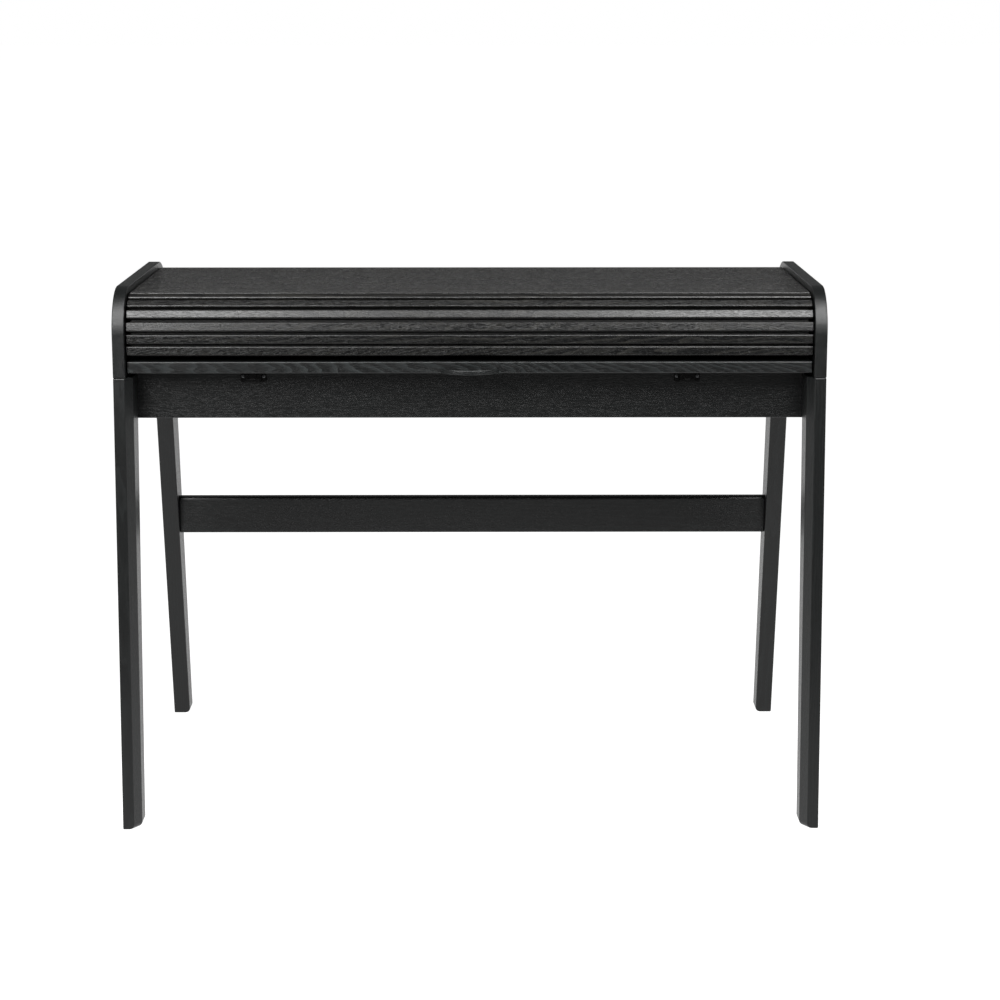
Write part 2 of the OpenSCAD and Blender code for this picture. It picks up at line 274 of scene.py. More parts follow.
def stained_ash(name, dark, pale, gloss=(0.36, 0.52)):
    """Ash, stained black and sprayed with a thin satin lacquer that leaves the pores open.

    The eye gets near-black wood whose growth rings still show as slightly greyer flames, and short
    fine dashes where the pores break the sheen.
    """
    made, tree, shader = new_material(name)
    grain = add(tree, "Attribute", attribute_name="grain").outputs["Vector"]
    # The log isn't straight: its rings wander 9 mm in 200 mm, and 1.2 mm in 30 mm
    wander = stretched_noise(tree, grain, 200 * MM, 45 * MM, 2)
    ripple = stretched_noise(tree, grain, 30 * MM, 9 * MM, 2)
    bent = shifted(tree, shifted(tree, grain, wander, 18 * MM), ripple, 2.4 * MM)
    # Rings 3.2 mm apart: this texture's wave has a period of 2 pi / 20 at scale one
    rings = add(tree, "TexWave", {"Vector": bent, "Scale": 2 * math.pi / 20 / (3.2 * MM)},
                wave_type="RINGS", rings_direction="X", wave_profile="SAW").outputs["Fac"]
    early = add(tree, "MapRange", {"Value": rings, 1: 0.45, 2: 1.0}).outputs[0]
    # Pores are 0.3 mm wide and 5 mm long, drawn 0.7 mm wide so that they show
    pore_noise = stretched_noise(tree, bent, 9 * MM, 0.7 * MM, 1).outputs["Fac"]
    pores = add(tree, "MapRange", {"Value": pore_noise, 1: 0.50, 2: 0.68}).outputs[0]
    crowded = add(tree, "MapRange", {"Value": early, 3: 0.35, 4: 1.0}).outputs[0]
    open_pores = add(tree, "Math", {0: pores, 1: crowded}, operation="MULTIPLY").outputs[0]
    cloud = stretched_noise(tree, grain, 160 * MM, 30 * MM, 3).outputs["Fac"]
    flame = add(tree, "Math", {0: early, 1: cloud}, operation="MULTIPLY").outputs[0]
    body = add(tree, "Mix", {0: flame, 6: linear(dark), 7: linear(pale)}, data_type="RGBA").outputs[2]
    colour = add(tree, "Mix", {0: open_pores, 6: body, 7: linear("#020202")}, data_type="RGBA").outputs[2]
    tree.links.new(colour, shader.inputs["Base Color"])
    rough = add(tree, "MapRange", {"Value": open_pores, 3: gloss[0], 4: gloss[1]}).outputs[0]
    tree.links.new(rough, shader.inputs["Roughness"])
    depth = add(tree, "Math", {0: early, 1: 0.25, 2: pores}, operation="MULTIPLY_ADD").outputs[0]
    bump = add(tree, "Bump", {"Height": depth, "Distance": 0.2 * MM, "Strength": 0.45}, invert=True)
    tree.links.new(bump.outputs["Normal"], shader.inputs["Normal"])
    shader.inputs["IOR"].default_value = 1.38
    return made


def stretched_noise(tree, vector, length, width, detail):
    """Noise whose blots are so long along the grain and so wide across it."""
    sized = add(tree, "Mapping", {"Vector": vector, "Scale": (1 / length, 1 / width, 1 / width)})
    return add(tree, "TexNoise", {"Vector": sized.outputs[0], "Scale": 1.0, "Detail": detail})


def shifted(tree, vector, noise, amount):
    """A vector moved by up to half the amount each way, as a noise's colour says."""
    centred = add(tree, "VectorMath", {0: noise.outputs["Color"], 1: (0.5, 0.5, 0.5)}, operation="SUBTRACT")
    return add(tree, "VectorMath", {0: centred.outputs[0], 1: (amount,) * 3, 2: vector},
               operation="MULTIPLY_ADD").outputs[0]


def painted_ply(name):
    """Birch plywood, rolled with matt black paint.

    The eye gets a flat black with a faint orange peel, and on the edges the layers, 1.3 mm each.
    """
    made, tree, shader = new_material(name)
    grain = add(tree, "Attribute", attribute_name="grain").outputs["Vector"]
    peel = stretched_noise(tree, grain, 2.5 * MM, 2.5 * MM, 2).outputs["Fac"]
    streak = stretched_noise(tree, grain, 60 * MM, 2 * MM, 3).outputs["Fac"]
    layers = add(tree, "TexWave", {"Vector": grain, "Scale": 2 * math.pi / 20 / (2.6 * MM)},
                 bands_direction="Z").outputs["Fac"]
    tone = add(tree, "Mix", {0: streak, 6: linear("#131312"), 7: linear("#1c1b1a")}, data_type="RGBA")
    tree.links.new(tone.outputs[2], shader.inputs["Base Color"])
    rough = add(tree, "MapRange", {"Value": streak, 3: 0.5, 4: 0.66}).outputs[0]
    tree.links.new(rough, shader.inputs["Roughness"])
    height = add(tree, "Math", {0: layers, 1: 0.8, 2: peel}, operation="MULTIPLY_ADD").outputs[0]
    bump = add(tree, "Bump", {"Height": height, "Distance": 0.06 * MM, "Strength": 0.6})
    tree.links.new(bump.outputs["Normal"], shader.inputs["Normal"])
    return made


def powder_coated_steel(name):
    """Pressed steel with a black powder coat.

    The eye gets a hard skin, blacker than the wood round it, with a faintly pebbled sheen.
    """
    made, tree, shader = new_material(name)
    place = add(tree, "TexCoord").outputs["Object"]
    pebble = stretched_noise(tree, place, 0.9 * MM, 0.9 * MM, 2).outputs["Fac"]
    smear = stretched_noise(tree, place, 12 * MM, 12 * MM, 3).outputs["Fac"]
    tone = add(tree, "Mix", {0: smear, 6: linear("#020202"), 7: linear("#060606")}, data_type="RGBA")
    tree.links.new(tone.outputs[2], shader.inputs["Base Color"])
    rough = add(tree, "MapRange", {"Value": smear, 3: 0.28, 4: 0.42}).outputs[0]
    tree.links.new(rough, shader.inputs["Roughness"])
    bump = add(tree, "Bump", {"Height": pebble, "Distance": 0.05 * MM, "Strength": 0.5})
    tree.links.new(bump.outputs["Normal"], shader.inputs["Normal"])
    shader.inputs["IOR"].default_value = 1.25
    return made


def plated_steel(name, tone_low, tone_high, rough_low, rough_high):
    """Turned steel, plated with dark zinc or blackened.

    The eye gets a dark metal with fine turning marks and a cloudy film that dulls it in places.
    """
    made, tree, shader = new_material(name)
    place = add(tree, "TexCoord").outputs["Object"]
    film = stretched_noise(tree, place, 3 * MM, 3 * MM, 3).outputs["Fac"]
    marks = stretched_noise(tree, place, 0.4 * MM, 0.4 * MM, 1).outputs["Fac"]
    tone = add(tree, "Mix", {0: film, 6: linear(tone_low), 7: linear(tone_high)}, data_type="RGBA")
    tree.links.new(tone.outputs[2], shader.inputs["Base Color"])
    rough = add(tree, "MapRange", {"Value": film, 3: rough_low, 4: rough_high}).outputs[0]
    tree.links.new(rough, shader.inputs["Roughness"])
    bump = add(tree, "Bump", {"Height": marks, "Distance": 0.02 * MM, "Strength": 0.4})
    tree.links.new(bump.outputs["Normal"], shader.inputs["Normal"])
    shader.inputs["Metallic"].default_value = 1.0
    return made


def cotton_canvas(name):
    """Cotton canvas, plain woven and glued behind the slats. Its near-black is partly the cloth's own colour
    and partly painted shade for the gaps between the slats.

    The eye gets a dull cloth with a fine check. Its threads are 0.5 mm apart, drawn at 1 mm.
    """
    made, tree, shader = new_material(name)
    grain = add(tree, "Attribute", attribute_name="grain").outputs["Vector"]
    scale = 2 * math.pi / 20 / (1.0 * MM)
    warp = add(tree, "TexWave", {"Vector": grain, "Scale": scale}, bands_direction="X").outputs["Fac"]
    weft = add(tree, "TexWave", {"Vector": grain, "Scale": scale}, bands_direction="Y").outputs["Fac"]
    weave = add(tree, "Math", {0: warp, 1: weft}, operation="MULTIPLY").outputs[0]
    # Near-black tone: the cloth's colour and painted shade for the narrow gaps between the slats
    tone = add(tree, "Mix", {0: weave, 6: linear("#050505"), 7: linear("#0d0d0c")}, data_type="RGBA")
    tree.links.new(tone.outputs[2], shader.inputs["Base Color"])
    bump = add(tree, "Bump", {"Height": weave, "Distance": 0.15 * MM, "Strength": 0.7})
    tree.links.new(bump.outputs["Normal"], shader.inputs["Normal"])
    shader.inputs["Roughness"].default_value = 0.9
    shader.inputs["Sheen Weight"].default_value = 0.05
    return made


def studio_paper(name):
    """Seamless studio paper: matt, with a trace of its own fibre, and made white by a painted glow."""
    made, tree, shader = new_material(name)
    place = add(tree, "TexCoord").outputs["Object"]
    fibre = stretched_noise(tree, place, 6 * MM, 6 * MM, 2).outputs["Fac"]
    tone = add(tree, "Mix", {0: fibre, 6: linear("#7a7a7a"), 7: linear("#808080")}, data_type="RGBA")
    tree.links.new(tone.outputs[2], shader.inputs["Base Color"])
    # The paper's glow is painted light: bright under and beyond the desk and dim in front of it, as if it
    # were lit from behind
    far = add(tree, "SeparateXYZ", {0: place}).outputs["Y"]
    painted_glow = add(tree, "MapRange", {"Value": far, 1: -1.6, 2: -1.08, 3: 0.03, 4: 0.99},
              interpolation_type="SMOOTHSTEP").outputs[0]
    tree.links.new(painted_glow, shader.inputs["Emission Strength"])
    shader.inputs["Emission Color"].default_value = (1, 1, 1, 1)
    shader.inputs["Roughness"].default_value = 1.0
    shader.inputs["Specular IOR Level"].default_value = 0.0
    return made


FRAME_ASH = stained_ash("stained_ash_frame", "#020303", "#111414")
WORKTOP_ASH = stained_ash("stained_ash_worktop", "#010202", "#262a2a")
SLAT_ASH = stained_ash("stained_ash_slats", "#040404", "#242320", gloss=(0.27, 0.44))
PLY = painted_ply("painted_plywood")
STEEL = powder_coated_steel("powder_coated_steel")
ZINC = plated_steel("zinc_plated_steel", "#39393a", "#545556", 0.32, 0.45)
BOLT_STEEL = plated_steel("blackened_steel", "#232325", "#343436", 0.3, 0.45)
CANVAS = cotton_canvas("black_canvas")


# ---- the case -----------------------------------------------------------------------------------

def track(inset):
    """The line in y and z that runs a fixed distance inside the panel's edge, front to tail.

    It goes up the front, a quarter turn round the front corner's centre, along the top and half a
    turn round the back corner's centre, then forwards along the tail.
    """
    low, high = box("side_panel_right")
    front = np.array([low[Y] + FRONT_CORNER, high[Z] - FRONT_CORNER])
    back = np.array([high[Y] - BACK_CORNER, high[Z] - BACK_CORNER])
    up = [[low[Y] + inset, box("worktop")[0][Z] + GROOVE_LOW]]
    a = np.linspace(0, math.pi / 2, 13)[:, None]
    b = np.linspace(math.pi / 2, 3 * math.pi / 2, 25)[:, None]
    round_front = front + (FRONT_CORNER - inset) * np.hstack([-np.cos(a), np.sin(a)])
    round_back = back + (BACK_CORNER - inset) * np.hstack([-np.cos(b), np.sin(b)])
    tail = [[back[0] - GROOVE_TAIL, back[1] - BACK_CORNER + inset]]
    return np.concatenate([up, round_front, round_back, tail])


def side_panels():
    """Two boards with rounded upper corners, each grooved inside for the ends of the slats."""
    low, high = box("side_panel_right")
    corners = [[low[Y], low[Z]], [high[Y], low[Z]], [high[Y], high[Z]], [low[Y], high[Z]]]
    radii = [CASE_EASE * 1.3, CASE_EASE * 1.3, BACK_CORNER, FRONT_CORNER]
    outline = rounded(corners, radii, [3, 3, 28, 24])
    board = carried(outline, low[X], high[X], CASE_EASE, steps=4)
    outer = track(GROOVE_INSET)
    inner = track(GROOVE_INSET + GROOVE_WIDTH)
    band = np.concatenate([outer, inner[::-1]])[::-1]
    groove = stacked(np.stack([band, band]), np.array([low[X] - MM, low[X] + GROOVE_DEPTH]), X)
    for side in ("right", "left"):
        name = "side_panel_" + side
        left = side == "left"
        panel = solid(name + "_board", [mirrored(board) if left else board])
        cut(panel, [mirrored(groove) if left else groove])
        grained(panel, along=(0, 1, 0), face=(1, 0, 0))
        finished(panel, FRAME_ASH, stands_for=[name])


def plain_board(node, material, body="root", ease=BOARD_EASE, along=(1, 0, 0), face=(0, 0, 1),
                lean=0.03):
    """A straight board with softened edges, as large as its CAD node's box."""
    low, high = box(node)
    corners = [[low[Y], low[Z]], [high[Y], low[Z]], [high[Y], high[Z]], [low[Y], high[Z]]]
    made = solid(node + "_board", [carried(rounded(corners, ease * 1.2), low[X], high[X], ease)])
    grained(made, along, face, lean)
    return finished(made, material, body, [node])


def side_rails():
    """Boards between the legs under the side panels, with recesses for the bolt heads."""
    low, high = box("side_rail_right")
    co = points_of("side_rail_right")
    foot = co[np.abs(co[:, Z] - low[Z]) < MM / 10][:, Y]
    top = co[np.abs(co[:, Z] - high[Z]) < MM / 10][:, Y]
    corners = [[foot.min(), low[Z]], [foot.max(), low[Z]], [top.max(), high[Z]], [top.min(), high[Z]]]
    board = carried(rounded(corners, BOARD_EASE * 1.2), low[X], high[X], BOARD_EASE)
    holes = [bolt_hole(bolt, high[X]) for bolt in bolt_places() if bolt[X] < high[X] + MM / 10]
    for side in ("right", "left"):
        name = "side_rail_" + side
        left = side == "left"
        rail = solid(name + "_board", [mirrored(board) if left else board])
        cut(rail, [mirrored(hole) if left else hole for hole in holes])
        grained(rail, along=(0, 1, 0), face=(1, 0, 0))
        finished(rail, FRAME_ASH, stands_for=[name])


def bolt_hole(bolt, face):
    """The round recess for a bolt's head, cut into a right-hand outer face at that x."""
    return carried(disc(bolt[1:], BOLT_RECESS), face - BOLT_SUNK, face + MM, RECESS_EASE)


def bolt_places():
    """The middle of each right-hand bolt head's outer face: two in the side rail, one in the leg."""
    rail_low, rail_high = box("side_rail_right")
    apron_low, apron_high = box("front_apron")
    stretcher_low, stretcher_high = box("stretcher")
    middle = (apron_low[Y] + apron_high[Y]) / 2
    edge = 20 * MM
    cross = (stretcher_low + stretcher_high) / 2
    return np.array([
        [rail_high[X], middle, rail_low[Z] + edge],
        [rail_high[X], middle, rail_high[Z] - edge],
        [box("back_leg_right")[1][X], cross[Y], cross[Z]],
    ])


# ---- the legs -----------------------------------------------------------------------------------

def leg_heights(low, high, extra=()):
    """Heights of a leg's rings: close together at its rounded ends and at the extra places."""
    a = np.linspace(0, math.pi / 2, 5)
    ends = LEG_EASE * (1 - np.cos(a))
    foot = FOOT_ROUND * (1 - np.cos(np.linspace(0, math.pi / 2, 9)))[1:]
    return np.unique(np.round(np.concatenate([low + ends, low + foot, high - ends, extra]), 6))


def drawn_in(z, low, high, ease):
    """How far a ring at height z is drawn in, on a quarter circle of the ease's radius at each end."""
    near = np.clip(np.minimum(z - low, high - z) / ease, 0, 1)
    return ease * (1 - np.sqrt(1 - (1 - near) ** 2))


def foot_inset(z, low):
    """How far a leg's inner face stands back at height z, round the inner bottom edge."""
    near = np.clip((z - low) / FOOT_ROUND, 0, 1)
    return FOOT_ROUND * (1 - np.sqrt(1 - (1 - near) ** 2))


def leaning_edge(node, z, front):
    """The y of a leg's front or back edge at height z, on the line from its foot to its top."""
    low, high = box(node)
    co = points_of(node)
    at_foot = co[np.abs(co[:, Z] - low[Z]) < MM / 10][:, Y]
    at_top = co[np.abs(co[:, Z] - high[Z]) < MM / 10][:, Y]
    foot, top = (at_foot.min(), at_top.min()) if front else (at_foot.max(), at_top.max())
    return foot + (top - foot) * (z - low[Z]) / (high[Z] - low[Z])


def leg(side, end):
    """A leaning leg: an outline in x and y for each height, lofted from the foot to the top."""
    node = f"{end}_leg_{side}"
    right = f"{end}_leg_right"
    low, high = box(right)
    step = [STEP_HEIGHT, STEP_HEIGHT + MM / 100] if end == "back" else []
    heights = leg_heights(low[Z], high[Z], step)
    rings = []
    for z in heights:
        front = leaning_edge(right, z, True)
        back = leaning_edge(right, z, False)
        inner = low[X] + foot_inset(z, low[Z])
        if end == "back" and z > STEP_HEIGHT:
            inner = box("side_panel_right")[0][X]
        bevel = [BEVEL_WIDTH, BEVEL_DEPTH] if end == "front" else [LEG_EASE, LEG_EASE]
        corners = [
            [inner + bevel[0], front],
            [high[X], front],
            [high[X], back],
            [inner, back],
            [inner, front + bevel[1]],
        ]
        points, normals = rounded(corners, LEG_EASE * 1.2, 4)
        rings.append(points - normals * drawn_in(z, low[Z], high[Z], LEG_EASE))
    grid = stacked(np.array(rings), heights, Z)
    made = solid(node + "_post", [mirrored(grid) if side == "left" else grid])
    if end == "back":
        bolt = bolt_places()[2]
        hole = bolt_hole(bolt, high[X])
        cut(made, [mirrored(hole) if side == "left" else hole])
    lean = leaning_edge(right, high[Z], True) - leaning_edge(right, low[Z], True)
    grained(made, along=(0, lean, high[Z] - low[Z]), face=(0, 1, 0), lean=0.01)
    return finished(made, FRAME_ASH, stands_for=[node])


def stretcher():
    """The rail between the back legs, with its upper edges rounded."""
    low, high = box("stretcher")
    corners = [[low[Y], low[Z]], [high[Y], low[Z]], [high[Y], high[Z]], [low[Y], high[Z]]]
    radii = [BOARD_EASE * 1.5, BOARD_EASE * 1.5, STRETCHER_ROUND, STRETCHER_ROUND]
    outline = rounded(corners, radii, [4, 4, 8, 8])
    made = solid("stretcher_rail", [carried(outline, low[X], high[X], BOARD_EASE)])
    grained(made, along=(1, 0, 0), face=(0, 1, 0))
    return finished(made, FRAME_ASH, stands_for=["stretcher"])


# ---- the curtain --------------------------------------------------------------------------------

def slat(node, body, lean):
    """A slat with rounded outer edges, and the strip of canvas that is glued to its flat back."""
    co = points_of(node)
    flat = np.unique(np.round(co[:, 1:], 6), axis=0)
    corners = flat[convex_hull_2d(flat.tolist())]
    if cross_sum(corners) < 0:
        corners = corners[::-1]
    edges = np.roll(corners, -1, 0) - corners
    long_edge = np.linalg.norm(edges, axis=1).argmax()
    back_out = unit([edges[long_edge][1], -edges[long_edge][0]])
    on_back = (corners - corners[long_edge]) @ back_out > -MM / 10
    radii = np.where(on_back, SLAT_BACK_EASE, SLAT_EASE)
    low, high = box(node)
    made = solid(node + "_wood", [carried(rounded(corners, radii, 3), low[X], high[X], SLAT_BACK_EASE)])
    face = np.array([0, -back_out[0], -back_out[1]])
    grained(made, along=(1, 0, 0), face=face, lean=lean)
    finished(made, SLAT_ASH, body, [node])
    canvas_strip(node, body, corners[long_edge], corners[(long_edge + 1) % len(corners)], back_out)


def cross_sum(corners):
    """Twice the area inside a closed outline, above nought when it runs counter-clockwise."""
    after = np.roll(corners, -1, 0)
    return (corners[:, 0] * after[:, 1] - corners[:, 1] * after[:, 0]).sum()


def canvas_strip(node, body, first, last, outward):
    """A slat's share of the canvas: a thin flat strip, a little wider than the slat, on its back."""
    low, high = box(node)
    middle = (first + last) / 2
    run = unit(last - first)
    half = run * CANVAS_HALF
    thick = outward * CANVAS_THICK
    corners = np.array([middle - half, middle - half + thick, middle + half + thick, middle + half])
    if cross_sum(corners) < 0:
        corners = corners[::-1]
    ends = low[X] + CANVAS_SHORT, high[X] - CANVAS_SHORT
    strip = carried(rounded(corners, 0.2 * MM, 2), *ends, 0.15 * MM)
    made = solid(node.replace("slat", "canvas"), [strip])
    grained(made, along=(1, 0, 0), face=(0, outward[0], outward[1]), lean=0)
    finished(made, CANVAS, body)


def curtain():
    """Every slat with its canvas, on the body that carries it.

    The lowest slat at the front comes from a board whose grain runs out at a steep slant.
    """
    bodies = frame["record"]["behaviour"]["bodies"]
    slats = {node: body for body, nodes in bodies.items() for node in nodes if node.startswith("slat_")}
    lead = min((node for node in slats if box(node)[0][Y] < 0), key=lambda node: box(node)[0][Z])
    for node, body in slats.items():
        slat(node, body, 0.3 if node == lead else 0.06)


# ---- the worktop and its handle -----------------------------------------------------------------

def handle():
    """A crescent lip with a dished top, carried across the desk from tip to tip.

    Its front edge is an arc of a circle through both tips. Each ring is one cross-section, drawn in
    shares of the lip's own depth and height there, so that the dish runs out at the tips.
    """
    low, high = box("handle")
    half = (high[X] - low[X]) / 2
    reach = high[Y] - low[Y]
    radius = (half ** 2 + reach ** 2) / (2 * reach)
    x = half * 0.992 * np.sin(np.linspace(-math.pi / 2, math.pi / 2, 61))
    depth = np.sqrt(radius ** 2 - x ** 2) - (radius - reach)
    share = depth / reach
    tall = high[Z] - low[Z]
    # The cross-section at the middle: distance behind the front edge and height over the underside
    rim = 1.3 * MM
    a = np.linspace(math.pi, 0, 9)
    foot = 0.9 * MM
    front = [[0.0, foot], [0.0, tall - rim]]
    crest = np.stack([rim + rim * np.cos(a), tall - rim + rim * np.sin(a)], 1)
    b = np.linspace(0, 1, 12)[1:]
    floor = 2.2 * MM
    sunk = (tall - rim - floor) * np.sin(b * math.pi / 2) ** 0.6
    inside = np.stack([2 * rim + (reach - 2 * rim) * b, tall - rim - sunk], 1)
    under = [[reach, 0.0], [foot, 0.0], [0.26 * MM, 0.26 * MM]]
    section = np.concatenate([front, crest[1:], inside, under])
    y = low[Y] + (reach - depth)[:, None] + section[:, 0] * share[:, None]
    fade = np.sqrt(np.clip(share, 0, 1))[:, None]
    past_crest = np.arange(len(section)) > len(front) + len(crest) - 2
    lowered = (tall - section[:, 1]) * np.where(past_crest, fade, 1)
    dish = (section[:, 1] > 0) & (section[:, 0] > 2 * rim - 1e-9)
    z = low[Z] + np.where(dish, tall - lowered, section[:, 1])
    rings = np.stack([y, z], -1)[:, ::-1]
    made = solid("handle_lip", [stacked(rings, x, X)])
    grained(made, along=(1, 0, 0), lean=0.02)
    return finished(made, WORKTOP_ASH, "worktop", ["handle"])


def worktop_stops():
    """Two blocks under the worktop, softened all round."""
    low, high = box("worktop_stops")
    corners = [[low[Y], low[Z]], [high[Y], low[Z]], [high[Y], high[Z]], [low[Y], high[Z]]]
    block = carried(rounded(corners, BOARD_EASE), high[X] - STOP_WIDTH, high[X], BOARD_EASE)
    made = solid("worktop_stop_blocks", [block, mirrored(block)])
    grained(made, along=(1, 0, 0))
    return finished(made, PLY, "worktop", ["worktop_stops"])


def dividers():
    """Upright boards between the compartments, with rounded front top corners."""
    low, high = box("dividers")
    co = points_of("dividers")
    edges = np.unique(np.round(co[:, X], 5))
    corners = [[low[Y], low[Z]], [high[Y], low[Z]], [high[Y], high[Z]], [low[Y], high[Z]]]
    outline = rounded(corners, [BOARD_EASE, BOARD_EASE, BOARD_EASE, DIVIDER_ROUND], [3, 3, 3, 12])
    boards = [carried(outline, x0, x1, BOARD_EASE) for x0, x1 in zip(edges[::2], edges[1::2])]
    made = solid("divider_boards", boards)
    grained(made, along=(0, 1, 0), face=(1, 0, 0), lean=0)
    return finished(made, PLY, stands_for=["dividers"])


# ---- metalwork ----------------------------------------------------------------------------------

def catch(side):
    """A magnetic catch: a plate with rounded corners, a magnet box and its two pole plates."""
    node = "catch_" + side
    low, high = box("catch_right")
    plate_back = high[Y]
    plate_front = plate_back - PLATE_THICK
    middle = (low + high) / 2
    # Outlines run in z and x, and are carried along y
    plate = rounded([[low[Z], low[X]], [high[Z], low[X]], [high[Z], high[X]], [low[Z], high[X]]], 3 * MM, 6)
    half = np.array([7, 12]) * MM
    a, b = np.array([middle[Z], middle[X]]) - half, np.array([middle[Z], middle[X]]) + half
    shell = rounded([[a[0], a[1]], [b[0], a[1]], [b[0], b[1]], [a[0], b[1]]], 1.2 * MM, 4)
    parts = [
        carried(plate, plate_front, plate_back, METAL_EASE, Y),
        carried(shell, low[Y] + 0.6 * MM, plate_front + 0.2 * MM, METAL_EASE, Y),
    ]
    for z in (middle[Z] - 3.2 * MM, middle[Z] + 3.2 * MM):
        pole = rounded([[z - MM, a[1] + 2 * MM], [z + MM, a[1] + 2 * MM],
                        [z + MM, b[1] - 2 * MM], [z - MM, b[1] - 2 * MM]], 0.4 * MM, 3)
        parts.append(carried(pole, low[Y], low[Y] + 2 * MM, 0.3 * MM, Y))
    made = solid(node + "_body", [mirrored(p) for p in parts] if side == "left" else parts)
    return finished(made, STEEL, stands_for=[node])


def strike(side):
    """A bent steel strip: its foot lies under the worktop, its narrower tongue hangs by the catch.

    The strip's middle line runs back along the foot, a quarter turn down and down the tongue, and the
    ring at each place is the strip's own width and thickness there.
    """
    node = "strike_" + side
    low, high = box("strike_right")
    thick = 2 * MM
    bend = 2.5 * MM
    a = np.linspace(0, math.pi / 2, 9)
    turn = np.array([high[Y] - thick / 2 - bend, high[Z] - thick / 2 - bend])
    arc = turn + bend * np.stack([np.sin(a), np.cos(a)], 1)
    foot = np.array([[low[Y], high[Z] - thick / 2], [low[Y] + 1.5 * MM, high[Z] - thick / 2]])
    tongue = np.array([[high[Y] - thick / 2, low[Z] + 1.5 * MM], [high[Y] - thick / 2, low[Z]]])
    line = np.concatenate([foot, arc, tongue])
    run = np.gradient(line, axis=0)
    run /= np.linalg.norm(run, axis=1)[:, None]
    out = np.stack([-run[:, 1], run[:, 0]], 1)
    along = np.linspace(0, 1, len(line))
    width = np.interp(along, [0, 0.1, 0.35, 0.75, 0.93, 1], np.array([5.8, 7, 7, 5, 5, 3.8]) * MM)
    middle = (low[X] + high[X]) / 2
    section = rounded([[-1, -1], [1, -1], [1, 1], [-1, 1]], 0.3, 3)[0]
    offset = section[None, :, 1:] * thick / 2 * out[:, None, :]
    x = middle - section[None, :, 0] * width[:, None]
    grid = np.concatenate([x[..., None], line[:, None, :] + offset], -1)
    made = solid(node + "_angle", [mirrored(grid) if side == "left" else grid])
    return finished(made, STEEL, "worktop", [node])


def screw_head(radius, height, recess, reach, depth):
    """Height of a domed head over its disc, in rings from the rim to the middle.

    The dome falls off as the square of the radius. The recess takes its depth away wherever the
    given function of x and y says that a point is inside it.
    """
    spokes = np.linspace(0, 2 * math.pi, 48, endpoint=False)
    rings = np.concatenate([np.linspace(radius, reach * 1.02, 6), np.linspace(reach, 0.04 * reach, 9)])
    px = rings[:, None] * np.cos(spokes)
    py = rings[:, None] * np.sin(spokes)
    dome = height * (1 - 0.55 * (rings[:, None] / radius) ** 2) * np.ones_like(px)
    return px, py, dome - depth * recess(px, py)


def cross_recess(px, py):
    """Inside a cross with arms 1 mm wide that reach 1.7 mm."""
    arm, reach = 0.5 * MM, 1.75 * MM
    across = (np.abs(px) < arm) & (np.abs(py) < reach)
    upright = (np.abs(py) < arm) & (np.abs(px) < reach)
    return (across | upright).astype(float)


def hexagon_recess(px, py):
    """Inside a hexagon 5 mm across its flats."""
    flats = np.arange(3) * math.pi / 3
    far = np.abs(px[..., None] * np.cos(flats) + py[..., None] * np.sin(flats)).max(-1)
    return (far < 2.5 * MM).astype(float)


def fastener(place, face, px, py, pz, shank, length):
    """A head and its shank as one stack of rings along the given direction, X or -Y."""
    head = np.stack([px, py, pz], -1)
    rim = np.stack([px[:1], py[:1], np.zeros_like(px[:1])], -1)
    neck = rim * (shank / px[0].max())
    end = neck.copy()
    neck[..., 2] = 0
    end[..., 2] = -length
    grid = np.concatenate([end, neck, rim, head])
    if face == "front":
        return np.stack([grid[..., 0], -grid[..., 2], grid[..., 1]], -1) + place
    return np.stack([grid[..., 2], grid[..., 0], grid[..., 1]], -1) + place


def catch_screws():
    """The two pan-head screws of each catch."""
    low, high = box("catch_right")
    plate = high[Y] - PLATE_THICK
    shape = screw_head(3 * MM, 1.6 * MM, cross_recess, 1.9 * MM, 0.8 * MM)
    parts = []
    for x in (low[X] + 4.5 * MM, high[X] - 4.5 * MM):
        place = np.array([x, plate, (low[Z] + high[Z]) / 2])
        head = fastener(place, "front", *shape, 1.4 * MM, 1.9 * MM)
        parts += [head, mirrored(head)]
    made = solid("catch_screw_heads", parts)
    return finished(made, ZINC, stands_for=["catch_screws"])


def connector_bolts():
    """The bolts that hold the apron to the rails and the stretcher to the back legs."""
    shape = screw_head(6.9 * MM, 1.9 * MM, hexagon_recess, 3.0 * MM, 1.4 * MM)
    parts = []
    for place in bolt_places():
        head = fastener(place - [2 * MM, 0, 0], "side", *shape, 3 * MM, 36 * MM)
        parts += [head, mirrored(head)]
    made = solid("connector_bolt_heads", parts)
    return finished(made, BOLT_STEEL, stands_for=["connector_bolts"])


# ---- the studio ---------------------------------------------------------------------------------

def studio():
    """White paper floor, a dim room with a pale horizon, and four soft boxes.

    The strongest stands at the left in front of the desk, a weaker one at the right, a faint one
    between them, and a long one hangs above.
    """
    mesh = bpy.data.meshes.new("floor")
    far = 80.0
    mesh.from_pydata([(-far, -far, 0), (far, -far, 0), (far, far, 0), (-far, far, 0)], [], [(0, 1, 2, 3)])
    floor = bpy.data.objects.new("floor", mesh)
    bpy.context.scene.collection.objects.link(floor)
    floor.data.materials.append(studio_paper("studio_paper"))
    room()
    soft_box("left_box", (-0.95, -1.65, 2.0), (0.85, 1.9), 95)
    soft_box("right_box", (0.86, -1.5, 2.2), (0.8, 1.7), 82)
    soft_box("front_box", (0, -1.75, 2.1), (1.0, 1.0), 3)
    soft_box("top_box", (0, -0.9, 3.3), (2.4, 0.9), 26)


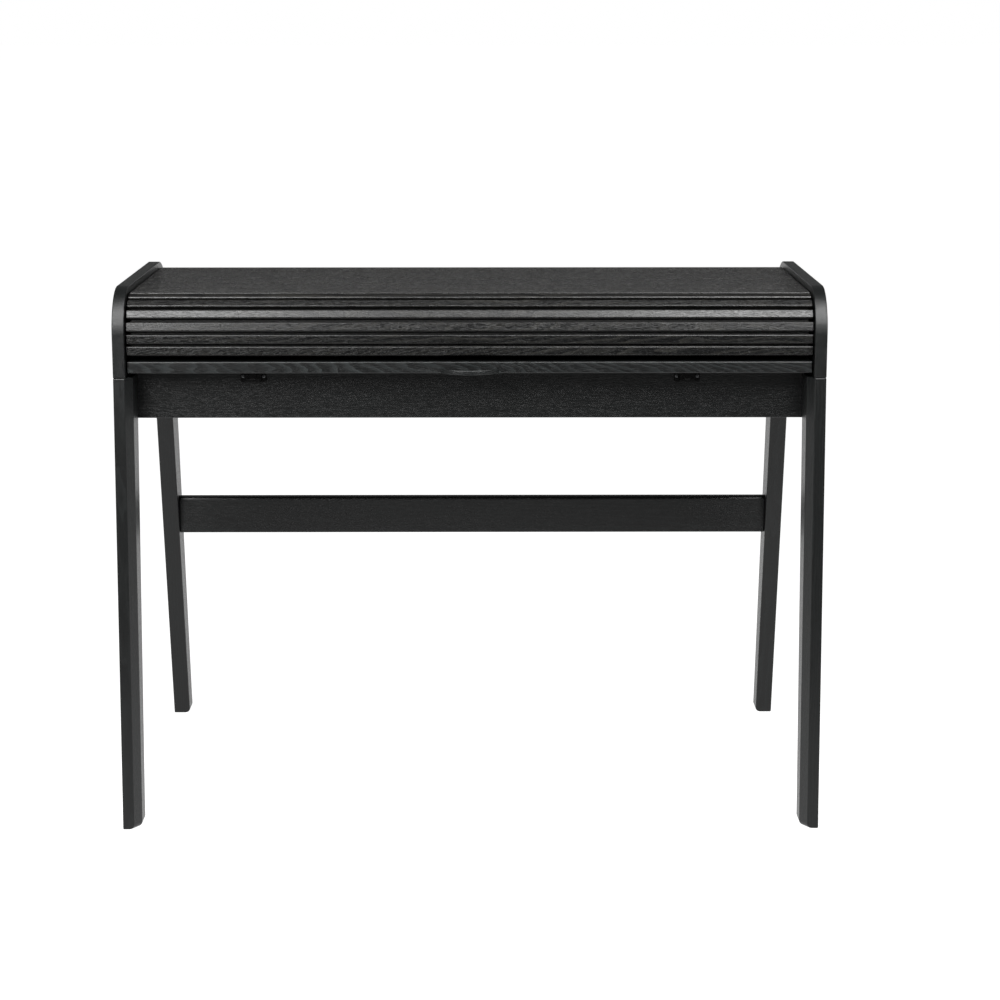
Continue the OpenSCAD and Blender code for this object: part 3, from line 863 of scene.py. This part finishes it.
def room():
    """What surrounds the paper: white at the horizon, dim above it, dimmer to the front."""
    world = bpy.data.worlds.new("room")
    bpy.context.scene.world = world
    world.use_nodes = True
    tree = world.node_tree
    way = add(tree, "SeparateXYZ", {0: add(tree, "TexCoord").outputs["Generated"]}).outputs
    walls = add(tree, "MapRange", {"Value": way["Y"], 1: -0.4, 2: 0.5, 3: 0.03, 4: 0.14}).outputs[0]
    horizon = add(tree, "MapRange", {"Value": way["Z"], 1: 0.03, 2: 0.07, 3: 1.0, 4: 0.0}).outputs[0]
    level = add(tree, "Mix", {0: horizon, 2: walls, 3: 1.0}).outputs[0]
    background = tree.nodes["Background"]
    tree.links.new(level, background.inputs["Strength"])
    background.inputs["Color"].default_value = (1, 1, 1, 1)


def soft_box(name, place, size, watts):
    """A rectangular lamp aimed at the middle of the case."""
    lamp = bpy.data.lights.new(name, "AREA")
    lamp.shape = "RECTANGLE"
    lamp.size, lamp.size_y = size
    lamp.energy = watts
    made = bpy.data.objects.new(name, lamp)
    bpy.context.scene.collection.objects.link(made)
    low, high = box("side_panel_right")
    aim = Vector((0, (low[Y] + high[Y]) / 2, (low[Z] + high[Z]) / 2))
    made.location = place
    made.rotation_euler = (aim - made.location).to_track_quat("-Z", "Y").to_euler()


def camera():
    """A long lens 1.3 m up, looking down at the desk's front from a little to its right."""
    data = bpy.data.cameras.new("camera")
    data.sensor_width = 36
    data.lens = 88.25
    made = bpy.data.objects.new("camera", data)
    bpy.context.scene.collection.objects.link(made)
    made.location = (0.024, -4.05, 1.275)
    made.rotation_euler = (math.radians(90 - 11.37), 0, math.radians(-0.34))
    bpy.context.scene.camera = made


camera()
studio()
side_panels()
side_rails()
for leg_side in ("left", "right"):
    leg(leg_side, "front")
    leg(leg_side, "back")
    catch(leg_side)
    strike(leg_side)
    plain_board("runner_" + leg_side, PLY, along=(0, 1, 0))
stretcher()
plain_board("front_apron", FRAME_ASH, face=(0, 1, 0))
plain_board("back_panel", FRAME_ASH, face=(0, 1, 0))
plain_board("bottom_panel", PLY)
plain_board("compartment_floor", PLY)
plain_board("compartment_back", PLY, face=(0, 1, 0))
dividers()
plain_board("worktop", WORKTOP_ASH, "worktop", ease=1.6 * MM, lean=0.25)
worktop_stops()
handle()
catch_screws()
connector_bolts()
curtain()

bpy.context.scene.view_settings.view_transform = "Standard"
bpy.context.view_layer.update()
